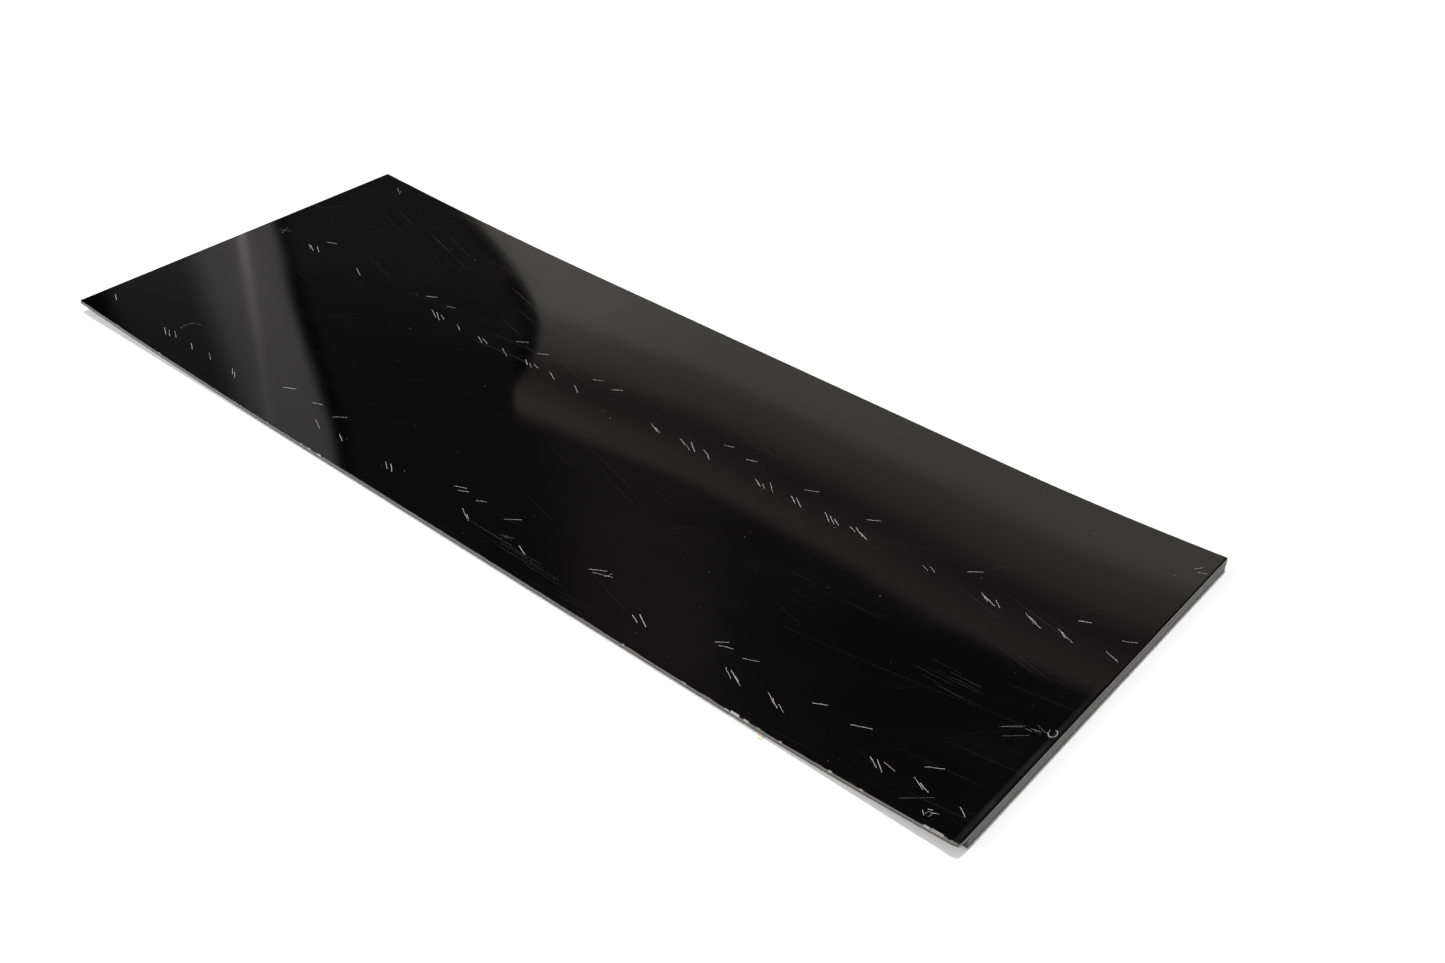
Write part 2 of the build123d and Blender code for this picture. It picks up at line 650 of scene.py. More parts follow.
class Face:
    """The polished face as a grid of points, with how worn each one is."""

    def __init__(self, sheet, bruises):
        low, high = SHEET_BOX
        self.xs = np.array(sheet_columns(low.x, high.x, bruises))
        self.ys = np.array(sheet_rows(low.y, high.y))
        self.x, self.y = np.meshgrid(self.xs, self.ys, indexing="ij")
        self.near_inset = self.y - low.y
        end_inset = np.minimum(self.xs - low.x, high.x - self.xs)[:, None]
        side_inset = np.minimum(self.ys - low.y, high.y - self.ys)[None, :]
        flat = drape(sheet, -sheet.thickness, self.xs)[:, None] + np.zeros((1, len(self.ys)))
        self.z = (
            flat - rounding(sheet.end_arris, end_inset) - rounding(sheet.side_arris, side_inset)
        )
        self.wear = np.zeros_like(self.z)
        self.push_in = np.zeros_like(self.z)

    def whiten(self, wear):
        self.wear = np.maximum(self.wear, wear)

    def strike_chips(self, bruises):
        """The near arris is struck down and in, and the bottom of each chip is torn white."""
        for number, bruise in enumerate(bruises):
            ragged = 0.75 + 0.25 * wander(self.xs, 60 + number, bruise.reach * 0.8)
            reach = np.clip(1 - np.abs(self.xs - bruise.middle) / bruise.reach, 0, 1)
            shape = (np.sqrt(reach) * ragged)[:, None]
            fall = np.clip(1 - self.near_inset / (bruise.depth * 1.6 + 0.1 * MM), 0, 1)
            self.z -= bruise.depth * shape * fall
            self.push_in += 0.45 * bruise.depth * shape * fall
            self.whiten(bruise.white * (shape > 0.25) * (fall > 0.05))

    def rub_near_arris(self):
        """A broken pale line along the whole near side."""
        rub = wander(self.xs, 7, 0.035) + 0.4 * wander(self.xs, 8, 0.006) - 0.35
        line = (self.near_inset > 0.02 * MM) & (self.near_inset < 0.3 * MM)
        self.whiten(0.42 * np.clip(rub, 0, 1)[:, None] * line)

    def haze_right_end(self):
        """A hazy band rubbed along the near half of the right end."""
        half = 1.8 * MM
        middle = SHEET_BOX[1].x - 0.9 * MM - half
        band = np.clip(1 - np.abs(middle - self.x) / half, 0, 1)
        patchy = np.clip(0.7 + 0.5 * wander(self.ys, 17, 0.05), 0, 1)[None, :]
        fade = np.clip((0.01 - self.ys) / 0.06, 0, 1)[None, :]
        self.whiten(0.036 * np.sqrt(band) * patchy * fade)

    def crush_corner(self, sheet):
        """The near right corner is crushed down and in, and its lower lip is torn."""
        corner = np.hypot(SHEET_BOX[1].x - self.x, self.near_inset)
        crush = np.clip(1 - corner / sheet.crush_reach, 0, 1) ** 1.4
        lumps = 0.75 + 0.25 * np.sin(self.x * 5200 + 1.3) * np.sin(self.y * 4700 + 0.4)
        shift = sheet.crush_depth * crush * lumps
        self.z -= 0.75 * shift
        self.x = self.x - 0.8 * shift
        self.y = self.y + 0.75 * shift + self.push_in
        ragged = (wander(self.xs, 5, 1.9 * MM) > -0.05)[:, None]
        torn = (self.near_inset < 0.3 * MM) & (self.near_inset > 0.04 * MM) & ragged
        self.whiten(0.4 * torn * (corner < 1.9 * sheet.crush_reach))


class Shell:
    """Points and faces of the sheet, with how worn and how far up its edge each point is."""

    def __init__(self):
        self.points, self.worn, self.rise = [], [], []
        self.faces, self.uses = [], []

    def add_point(self, place, worn=0.0, rise=0.0):
        self.points.append(place)
        self.worn.append(worn)
        self.rise.append(rise)
        return len(self.points) - 1

    def add_face(self, corners, use):
        self.faces.append(tuple(map(int, corners)))
        self.uses.append(use)

    def add_grid(self, number, use, turned_over=False):
        """Faces between the points of a grid."""
        for i in range(number.shape[0] - 1):
            for j in range(number.shape[1] - 1):
                near = (number[i, j], number[i + 1, j])
                far = (number[i, j + 1], number[i + 1, j + 1])
                if turned_over:
                    self.add_face((near[0], far[0], far[1], near[1]), use)
                else:
                    self.add_face((near[0], near[1], far[1], far[0]), use)

    def add_walls(self, number, border, bottom):
        """Sawn walls, from the arris down to the back, and the ring of points at their foot."""
        last_x, last_y = number.shape[0] - 1, number.shape[1] - 1
        dice = np.random.default_rng(12)
        upper = [int(number[i, j]) for i, j in border]
        ring = upper
        for share, inset in WALL_STEPS:
            fresh = []
            for spot, (i, j) in zip(upper, border):
                x, y, z = self.points[spot]
                saw = inset * MM * (1 + 0.5 * dice.uniform(-1, 1))
                in_x = (i == 0) - (i == last_x)
                in_y = (j == 0) - (j == last_y)
                place = (x + saw * in_x, y + saw * in_y, z + (bottom[i] - z) * share)
                worn = self.worn[spot] * max(0.0, 1 - share * 3.2)
                fresh.append(self.add_point(place, worn, 1.0 - share))
            for k in range(len(ring)):
                after = (k + 1) % len(ring)
                self.add_face((ring[after], ring[k], fresh[k], fresh[after]), SAWN)
            ring = fresh
        return ring

    def add_back(self, face, border, ring, bottom):
        """The back, inside the ring of points at the foot of the walls."""
        back = -np.ones(face.x.shape, dtype=int)
        for spot, (i, j) in zip(ring, border):
            back[i, j] = spot
        for i, j in zip(*np.nonzero(back < 0)):
            back[i, j] = self.add_point((face.x[i, j], face.y[i, j], bottom[i]))
        self.add_grid(back, SATIN, turned_over=True)


def build_sheet(sheet, materials):
    """Draped sheet with rounded arrises, chips along the near one and one crushed corner."""
    bruises = near_edge_bruises()
    face = Face(sheet, bruises)
    face.strike_chips(bruises)
    face.rub_near_arris()
    face.haze_right_end()
    face.crush_corner(sheet)

    shell = Shell()
    for x, y, z, worn in zip(face.x.ravel(), face.y.ravel(), face.z.ravel(), face.wear.ravel()):
        shell.add_point((x, y, z), worn, 1.0)
    number = np.arange(face.x.size).reshape(face.x.shape)
    shell.add_grid(number, GLOSS)
    border = ring_of(*face.x.shape)
    bottom = drape(sheet, 0.0, face.xs)
    ring = shell.add_walls(number, border, bottom)
    shell.add_back(face, border, ring, bottom)

    made = mesh_object("gloss_sheet", shell.points, shell.faces, materials, shell.uses)
    add_attribute(made.data, "wear", shell.worn)
    add_attribute(made.data, "rise", shell.rise)
    made.data.shade_smooth()
    made.data.set_sharp_from_angle(angle=math.radians(38))
    return made


def build_block(name, stations_x, stations_y, stations_z, shape, material):
    """Closed block divided along its three sides, with every point moved by a shape function."""
    sides = (stations_x, stations_y, stations_z)
    spots, points, faces = {}, [], []

    def spot(key):
        if key not in spots:
            spots[key] = len(points)
            points.append(shape(*(side[step] for side, step in zip(sides, key))))
        return spots[key]

    # Each pair of opposite sides: its two axes, the axis across it, and whether the first of the
    # pair is turned over
    for first, second, across, turned_over in ((0, 1, 2, True), (0, 2, 1, False), (1, 2, 0, True)):
        last = len(sides[across]) - 1
        for a in range(len(sides[first]) - 1):
            for b in range(len(sides[second]) - 1):
                for level, over in ((0, turned_over), (last, not turned_over)):
                    corners = [(a, b), (a + 1, b), (a + 1, b + 1), (a, b + 1)]
                    if over:
                        corners = [corners[k] for k in (0, 3, 2, 1)]
                    keys = ({first: p, second: q, across: level} for p, q in corners)
                    faces.append([spot((key[0], key[1], key[2])) for key in keys])
    return mesh_object(name, points, faces, (material,))


def bake(made, body=BODY):
    """Replaces an object by the plain mesh of its evaluated self, and rides it on the body."""
    mesh = bpy.data.meshes.new_from_object(
        made.evaluated_get(bpy.context.evaluated_depsgraph_get())
    )
    if not mesh.polygons:
        raise RuntimeError(f"{made.name} came out empty")
    made.modifiers.clear()
    old = made.data
    made.data = mesh
    mesh.name = made.name
    bpy.data.meshes.remove(old)
    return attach(made, body)


# ---------------------------------------------------------------------------
# Geometry Nodes
# ---------------------------------------------------------------------------


def new_tree(name, inputs):
    """A geometry tree with the given (name, kind, default) inputs, its maker and their sockets."""
    tree = bpy.data.node_groups.new(name, "GeometryNodeTree")
    tree.interface.new_socket("Geometry", in_out="INPUT", socket_type="NodeSocketGeometry")
    names = {}
    for label, kind, default in inputs:
        socket = tree.interface.new_socket(label, in_out="INPUT", socket_type=kind)
        if default is not None:
            socket.default_value = default
        names[label] = socket.identifier
    tree.interface.new_socket("Geometry", in_out="OUTPUT", socket_type="NodeSocketGeometry")
    maker = Maker(tree)
    entry = maker.node("NodeGroupInput")
    return tree, maker, entry, names


def real(maker, geometry):
    return maker.node("GeometryNodeRealizeInstances", {}, {"Geometry": geometry})["Geometry"]


def moved(maker, geometry, position):
    return maker.node(
        "GeometryNodeSetPosition", {}, {"Geometry": geometry, "Position": position}
    )["Geometry"]


def lay_on_points(maker, points, piece, more=None):
    """The piece on each of the points, turned and stretched by the other inputs given."""
    return maker.node(
        "GeometryNodeInstanceOnPoints", {}, {"Points": points, "Instance": piece, **(more or {})}
    )["Instances"]


def named_value(maker, name):
    return maker.node(
        "GeometryNodeInputNamedAttribute", {"data_type": "FLOAT"}, {"Name": name}
    )["Attribute"]


def close_tree(maker, geometry, material):
    """Realises the instances and gives them their material."""
    done = maker.node(
        "GeometryNodeSetMaterial", {}, {"Geometry": real(maker, geometry), "Material": material}
    )["Geometry"]
    output = maker.node("NodeGroupOutput")
    maker.put(output.built.inputs[0], done)


def grow(base, tree, names, values):
    """Puts a tree on an object with its inputs set, and makes the result a plain mesh."""
    modifier = base.modifiers.new(tree.name, "NODES")
    modifier.node_group = tree
    for label, value in values.items():
        modifier[names[label]] = value
    return bake(base)


def whole_sheet(maker, target):
    return maker.node(
        "GeometryNodeObjectInfo", {"transform_space": "ORIGINAL"}, {"Object": target}
    )["Geometry"]


def height_of_sheet(maker, target, x, y, side):
    """Height of the sheet at each place, seen from above (side 1) or from below (side -1)."""
    ray = maker.node(
        "GeometryNodeRaycast",
        {},
        {
            "Target Geometry": whole_sheet(maker, target),
            "Source Position": maker.vector(x, y, CLEAR_OF_SHEET * side),
            "Ray Direction": (0, 0, -side),
            "Ray Length": 1.0,
        },
    )
    return maker.axes(ray["Hit Position"])[2]


def random_value(maker, low, high, seed):
    return maker.node(
        "FunctionNodeRandomValue", {"data_type": "FLOAT"}, {2: low, 3: high, 8: seed}
    )[1]


def stroke_tree(material):
    """Short scratches: a tapered sliver on each point, turned, bent and laid on the sheet."""
    tree, maker, entry, names = new_tree(
        "scratch_strokes",
        (
            ("Sheet", "NodeSocketObject", None),
            ("Shortest", "NodeSocketFloat", 6 * MM),
            ("Longest", "NodeSocketFloat", 12 * MM),
            ("Width", "NodeSocketFloat", 0.9 * MM),
            ("Height", "NodeSocketFloat", 0.05 * MM),
            ("Wobble", "NodeSocketFloat", 0.5 * MM),
            ("Seed", "NodeSocketInt", 5),
        ),
    )
    seed = entry["Seed"]
    line = maker.node(
        "GeometryNodeCurvePrimitiveLine", {}, {"Start": (-0.5, 0, 0), "End": (0.5, 0, 0)}
    )["Curve"]
    line = maker.node("GeometryNodeResampleCurve", {}, {"Curve": line, "Count": 9})["Curve"]
    share = maker.node("GeometryNodeSplineParameter")["Factor"]
    taper = (share * (1 - share) * 4).at_least(0.02) ** 0.55
    line = maker.node("GeometryNodeSetCurveRadius", {}, {"Curve": line, "Radius": taper})["Curve"]
    ring = maker.node(
        "GeometryNodeCurvePrimitiveCircle", {"mode": "RADIUS"}, {"Resolution": 6, "Radius": 0.5}
    )["Curve"]
    sliver = maker.node(
        "GeometryNodeCurveToMesh", {}, {"Curve": line, "Profile Curve": ring, "Fill Caps": True}
    )["Mesh"]

    turn, stretch, girth = (named_value(maker, name) for name in ("turn", "stretch", "girth"))
    stray = random_value(maker, -0.14, 0.14, seed) * girth
    spread = random_value(maker, 0.0, 1.0, seed + 1)
    length = (entry["Shortest"] + (entry["Longest"] - entry["Shortest"]) * spread) * stretch
    width = entry["Width"] * random_value(maker, 0.6, 1.2, seed + 2) * girth
    laid = lay_on_points(
        maker,
        entry["Geometry"],
        sliver,
        {
            "Rotation": maker.vector(z=turn + stray),
            "Scale": maker.vector(length, width, entry["Height"]),
        },
    )

    # Bend each sliver in its own way, then lay it on the face
    here = maker.node("GeometryNodeInputPosition")["Position"]
    sway = maker.node(
        "ShaderNodeTexNoise",
        {"noise_dimensions": "3D"},
        {"Vector": here, "Scale": 210.0, "Detail": 2.0},
    )["Color"]
    sway_x, sway_y, _ = maker.axes(sway)
    x, y, z = maker.axes(here)
    sway_by = entry["Wobble"] * 2 * girth
    x = x + (sway_x - 0.5) * sway_by
    y = y + (sway_y - 0.5) * sway_by
    face = height_of_sheet(maker, entry["Sheet"], x, y, 1)
    settled = moved(maker, real(maker, laid), maker.vector(x, y, face + z))
    close_tree(maker, settled, material)
    return tree, names


def dust_tree(material):
    """Specks scattered over the face of the sheet."""
    tree, maker, entry, names = new_tree(
        "dust_specks",
        (
            ("Sheet", "NodeSocketObject", None),
            ("Density", "NodeSocketFloat", 900.0),
            ("Smallest", "NodeSocketFloat", 0.1 * MM),
            ("Largest", "NodeSocketFloat", 0.4 * MM),
            ("Margin", "NodeSocketFloat", 0.397),
            ("Seed", "NodeSocketInt", 3),
        ),
    )
    seed = entry["Seed"]
    facing = maker.axes(maker.node("GeometryNodeInputNormal")["Normal"])[2]
    along = maker.axes(maker.node("GeometryNodeInputPosition")["Position"])[0]
    upper = (facing > 0.98) * (abs(along) < entry["Margin"])
    points = maker.node(
        "GeometryNodeDistributePointsOnFaces",
        {"distribute_method": "RANDOM"},
        {
            "Mesh": whole_sheet(maker, entry["Sheet"]),
            "Selection": upper,
            "Density": entry["Density"],
            "Seed": seed,
        },
    )["Points"]
    speck = maker.node(
        "GeometryNodeMeshIcoSphere", {}, {"Radius": 0.5, "Subdivisions": 1}
    )["Mesh"]
    draw = random_value(maker, 0.0, 1.0, seed + 1)
    size = entry["Smallest"] + (entry["Largest"] - entry["Smallest"]) * draw * draw * draw
    long_side = size * random_value(maker, 1.0, 2.6, seed + 2)
    laid = lay_on_points(
        maker,
        points,
        speck,
        {
            "Rotation": maker.vector(z=random_value(maker, 0.0, 6.28, seed + 3)),
            "Scale": maker.vector(long_side, size, size * 0.25),
        },
    )
    close_tree(maker, laid, material)
    return tree, names


def strip_tree(name, material):
    """Rows of tape or liner that follow the back of the sheet."""
    tree, maker, entry, names = new_tree(
        name,
        (
            ("Sheet", "NodeSocketObject", None),
            ("Length", "NodeSocketFloat", 0.7),
            ("Width", "NodeSocketFloat", 0.019),
            ("Thickness", "NodeSocketFloat", 0.001),
            ("Depth", "NodeSocketFloat", 0.0005),
            ("Waviness", "NodeSocketFloat", 0.0003),
            ("Seed", "NodeSocketInt", 1),
        ),
    )
    size = maker.vector(entry["Length"], entry["Width"], entry["Thickness"])
    strip = maker.node(
        "GeometryNodeMeshCube",
        {},
        {"Size": size, "Vertices X": 241, "Vertices Y": 7, "Vertices Z": 3},
    )["Mesh"]
    laid = real(maker, lay_on_points(maker, entry["Geometry"], strip))
    x, y, z = maker.axes(maker.node("GeometryNodeInputPosition")["Position"])
    under = height_of_sheet(maker, entry["Sheet"], x, y, -1)
    cut = maker.noise(maker.vector(x, y, entry["Seed"] * 0.37), 45.0, 2.0) - 0.5
    y = y + cut * entry["Waviness"]
    draped = moved(maker, laid, maker.vector(x, y, under - entry["Depth"] + z))
    flat = maker.node(
        "GeometryNodeSetShadeSmooth", {}, {"Geometry": draped, "Shade Smooth": False}
    )["Geometry"]
    close_tree(maker, flat, material)
    return tree, names


# ---------------------------------------------------------------------------
# Sizes and colours
# ---------------------------------------------------------------------------


LENGTH = {"unit": "LENGTH", "precision": 5}
COLOUR = {"subtype": "COLOR", "size": 4, "min": 0, "max": 1}
SHARE = {"min": 0, "max": 1}
PLACE = {"subtype": "TRANSLATION", "size": 3}


class SheetSizes(PropertyGroup):
    thickness: FloatProperty(
        name="Thickness", description="Thickness of the sheet", default=3.2 * MM, **LENGTH
    )
    underside: FloatProperty(
        name="Underside",
        description="Height of the back of the sheet where it lies flat on its tapes",
        default=SHEET_BOX[0].z,
        **LENGTH,
    )
    strip_height: FloatProperty(
        name="Strip height",
        description="Height of the back of the sheet over its two ends",
        default=LEFT_STRIP_BOX[1].z,
        **LENGTH,
    )
    left_lift: FloatProperty(
        name="Left lift",
        description="Length over which the sheet climbs to its left end",
        default=0.276,
        **LENGTH,
    )
    right_lift: FloatProperty(
        name="Right lift",
        description="Length over which the sheet climbs to its right end",
        default=0.171,
        **LENGTH,
    )
    side_arris: FloatProperty(
        name="Side arris",
        description="Radius of the arris along the two long sides",
        default=0.45 * MM,
        **LENGTH,
    )
    end_arris: FloatProperty(
        name="End arris",
        description="Radius of the arris along the two short ends",
        default=1.0 * MM,
        **LENGTH,
    )
    crush_reach: FloatProperty(
        name="Crushed reach",
        description="How far the crushed corner runs in from its point",
        default=5.5 * MM,
        **LENGTH,
    )
    crush_depth: FloatProperty(
        name="Crushed depth",
        description="How far the point of the crushed corner is pushed in",
        default=1.5 * MM,
        **LENGTH,
    )
    face_colour: FloatVectorProperty(
        name="Face colour",
        description="Colour of the polished face",
        default=(0.0008, 0.00075, 0.0009, 1.0),
        **COLOUR,
    )
    face_roughness: FloatProperty(
        name="Face roughness",
        description="Roughness of the polished face between its marks",
        default=0.045,
        **SHARE,
    )
    edge_dark: FloatVectorProperty(
        name="Edge colour, dark",
        description="Darker colour of the sawn edges",
        default=(0.038, 0.034, 0.033, 1.0),
        **COLOUR,
    )
    edge_pale: FloatVectorProperty(
        name="Edge colour, pale",
        description="Paler colour of the sawn edges",
        default=(0.10, 0.094, 0.09, 1.0),
        **COLOUR,
    )
    edge_roughness: FloatProperty(
        name="Edge roughness", description="Roughness of the sawn edges", default=0.42, **SHARE
    )


class TapeSizes(PropertyGroup):
    tape_thickness: FloatProperty(
        name="Tape thickness",
        description="Thickness of the foam mounting tape",
        default=1.0 * MM,
        **LENGTH,
    )
    liner_thickness: FloatProperty(
        name="Liner thickness",
        description="Thickness of the release liner",
        default=0.1 * MM,
        **LENGTH,
    )
    liner_colour: FloatVectorProperty(
        name="Liner colour",
        description="Colour of the waxed release liner",
        default=(0.80, 0.74, 0.62, 1.0),
        **COLOUR,
    )
    tail_setback: FloatProperty(
        name="Tail setback",
        description="Distance of the liner's tail from the right end",
        default=0.130,
        **LENGTH,
    )
    tail_width: FloatProperty(
        name="Tail width", description="Width of the liner's tail", default=4.4 * MM, **LENGTH
    )


class MarkSizes(PropertyGroup):
    pitch: FloatProperty(
        name="Pitch",
        description="Distance between neighbouring groups of strokes along the plate",
        default=25.4 * MM,
        **LENGTH,
    )
    gap: FloatProperty(
        name="Gap",
        description="Distance between the strokes of one group",
        default=4.5 * MM,
        **LENGTH,
    )
    width: FloatProperty(
        name="Stroke width", description="Greatest width of a stroke", default=0.38 * MM, **LENGTH
    )
    lean: FloatProperty(
        name="Lean",
        description="Turn of the lower strokes from the length of the plate",
        default=math.radians(-28),
        subtype="ANGLE",
    )
    dust_density: FloatProperty(
        name="Dust", description="Specks of dust on a square metre", default=1000.0, min=0
    )
    seed: IntProperty(name="Seed", description="Number that the random marks start from", default=5)
    lower_near: StringProperty(
        name="Near row, lower",
        description="Strokes at each pitch along the lower line of the near row",
        default="1..3112...11.2..2.1...2..33..321",
    )
    upper_near: StringProperty(
        name="Near row, upper",
        description="Strokes at each pitch along the upper line of the near row",
        default="........111....211..1...21.11.1.",
    )
    lower_middle: StringProperty(
        name="Middle row, lower",
        description="Strokes at each pitch along the lower line of the middle row",
        default="..3.1...3121311..232.3233.2.3221",
    )
    upper_middle: StringProperty(
        name="Middle row, upper",
        description="Strokes at each pitch along the upper line of the middle row",
        default="..1....11..11.11...11.1.1..1..11",
    )
    burr_colour: FloatVectorProperty(
        name="Burr colour",
        description="Colour of the whitened scratches",
        default=(0.46, 0.45, 0.46, 1.0),
        **COLOUR,
    )


class StudioSizes(PropertyGroup):
    lens: FloatProperty(
        name="Lens", description="Focal length on a sensor 36 mm wide", default=38.14, unit="CAMERA"
    )
    stand: FloatVectorProperty(
        name="Camera place",
        description="Where the camera stands",
        default=(0.6369, -0.6250, 0.6180),
        **PLACE,
    )
    aim: FloatVectorProperty(
        name="Camera aim",
        description="Point on the floor at the middle of the view",
        default=(0.1090, 0.0122, 0.0),
        **PLACE,
    )
    roll: FloatProperty(
        name="Roll",
        description="Turn of the camera round its own axis",
        default=math.radians(1.33),
        subtype="ANGLE",
    )
    key_light: FloatProperty(
        name="Key light",
        description="Power of the small light overhead",
        default=285.0,
        unit="POWER",
    )
    ceiling_light: FloatProperty(
        name="Ceiling light",
        description="Power of the large soft light overhead",
        default=30.0,
        unit="POWER",
    )
    fill_light: FloatProperty(
        name="Fill light",
        description="Power of the low soft light in front, on the left",
        default=140.0,
        unit="POWER",
    )
    floor_colour: FloatVectorProperty(
        name="Floor colour",
        description="Colour of the studio floor",
        default=(0.80, 0.80, 0.80, 1.0),
        **COLOUR,
    )


# ---------------------------------------------------------------------------
# Pieces
# ---------------------------------------------------------------------------


class KICKPLATE_OT_sheet(Operator):
    """Builds the draped gloss sheet"""

    bl_idname = "kickplate.sheet"
    bl_label = "Gloss Sheet"

    def execute(self, context):
        sheet = context.scene.kickplate_sheet
        materials = (
            gloss_material(sheet),
            # The sheet's edge gets a painted highlight above and painted shade below
            sawn_material("sawn_edge", sheet, painted_highlight_and_shade=True),
            satin_material(),
        )
        made = build_sheet(sheet, materials)
        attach(made, BODY)
        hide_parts("face_sheet")
        return {"FINISHED"}


class KICKPLATE_OT_strips(Operator):
    """Builds the two strips bonded under the short ends"""

    bl_idname = "kickplate.strips"
    bl_label = "End Strips"

    def execute(self, context):
        sheet = context.scene.kickplate_sheet
        # The strips' material carries painted shade at their foot
        material = sawn_material("sawn_strip", sheet, 0.9)
        for node, name, seed in (
            ("end_strip_left", "left_end_strip", 21),
            ("end_strip_right", "right_end_strip", 22),
        ):
            low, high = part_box(node)
            offsets = np.linspace(low.x, high.x, 6)
            rows = np.linspace(low.y, high.y, 76)
            sway = dict(zip(rows, wander(rows, seed, 0.06)))
            inner = low.x if node.endswith("right") else high.x
            tops = dict(zip(offsets, drape(sheet, 0.0, offsets)))

            def shape(x, y, share):
                side = 0.12 * MM * (1 + sway[y]) if x == inner else 0.0
                shift = side if inner == low.x else -side
                return (x + shift, y, share * tops[x])

            made = build_block(name, offsets, rows, (0.0, 0.35, 0.7, 1.0), shape, material)
            bevel = made.modifiers.new("Arris", "BEVEL")
            bevel.width = 0.25 * MM
            bevel.segments = 2
            bevel.limit_method = "ANGLE"
            bevel.angle_limit = math.radians(40)
            bake(made)
            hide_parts(node)
        return {"FINISHED"}


class KICKPLATE_OT_tapes(Operator):
    """Builds the rows of foam tape and their release liners"""

    bl_idname = "kickplate.tapes"
    bl_label = "Mounting Tapes and Liners"

    def execute(self, context):
        tape = context.scene.kickplate_tape
        sheet = bpy.data.objects["gloss_sheet"]
        foam = foam_material()
        waxed = liner_material(tape)
        boxes = [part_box(node) for node in TAPE_NODES]
        for name, nodes, slot, material, thickness, depth, margin, waviness in (
            (
                "foam_tapes",
                TAPE_NODES,
                "foam_tape",
                foam,
                tape.tape_thickness,
                tape.tape_thickness / 2,
                0.0,
                0.5 * MM,
            ),
            (
                "release_liners",
                LINER_NODES,
                "release_liner",
                waxed,
                tape.liner_thickness,
                tape.tape_thickness + tape.liner_thickness / 2,
                1.0 * MM,
                0.35 * MM,
            ),
        ):
            points = [((low.x + high.x) / 2, (low.y + high.y) / 2, 0.0) for low, high in boxes]
            base = mesh_object(name, points, [])
            tree, names = strip_tree(name, material)
            low, high = boxes[0]
            made = grow(
                base,
                tree,
                names,
                {
                    "Sheet": sheet,
                    "Length": high.x - low.x + 2 * margin,
                    "Width": high.y - low.y + 2 * margin - waviness,
                    "Thickness": thickness,
                    "Depth": depth,
                    "Waviness": waviness,
                    "Seed": len(name),
                },
            )
            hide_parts(*nodes)
        self.add_tail(tape, waxed)
        return {"FINISHED"}

    def add_tail(self, tape, material):
        """Torn tail of the near liner, curling up past the long side"""
        sheet_low, sheet_high = SHEET_BOX
        liner_low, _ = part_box("release_liner_near")
        middle = sheet_high.x - tape.tail_setback
        half = tape.tail_width / 2
        rows = np.linspace(liner_low.y, sheet_low.y + 16 * MM, 30)
        columns = np.linspace(-half, half, 9)
        torn = dict(zip(columns, 0.35 * MM * (1 + wander(columns, 31, 1.6 * MM))))

        def shape(x, y, share):
            out = max(0.0, sheet_low.y - y)
            reach = sheet_low.y - liner_low.y
            edge = torn[x] * min(1.0, out / reach)
            slim = 1 - 0.22 * (out / reach)
            curl = 0.9 * MM * (out / reach) ** 2 * (0.6 + 0.4 * x / half)
            return (
                middle + x * slim + 0.4 * out,
                y + edge,
                0.02 * MM + curl + share * tape.liner_thickness,
            )

        made = build_block("liner_tail", columns, rows, (0.0, 1.0), shape, material)
        bake(made)


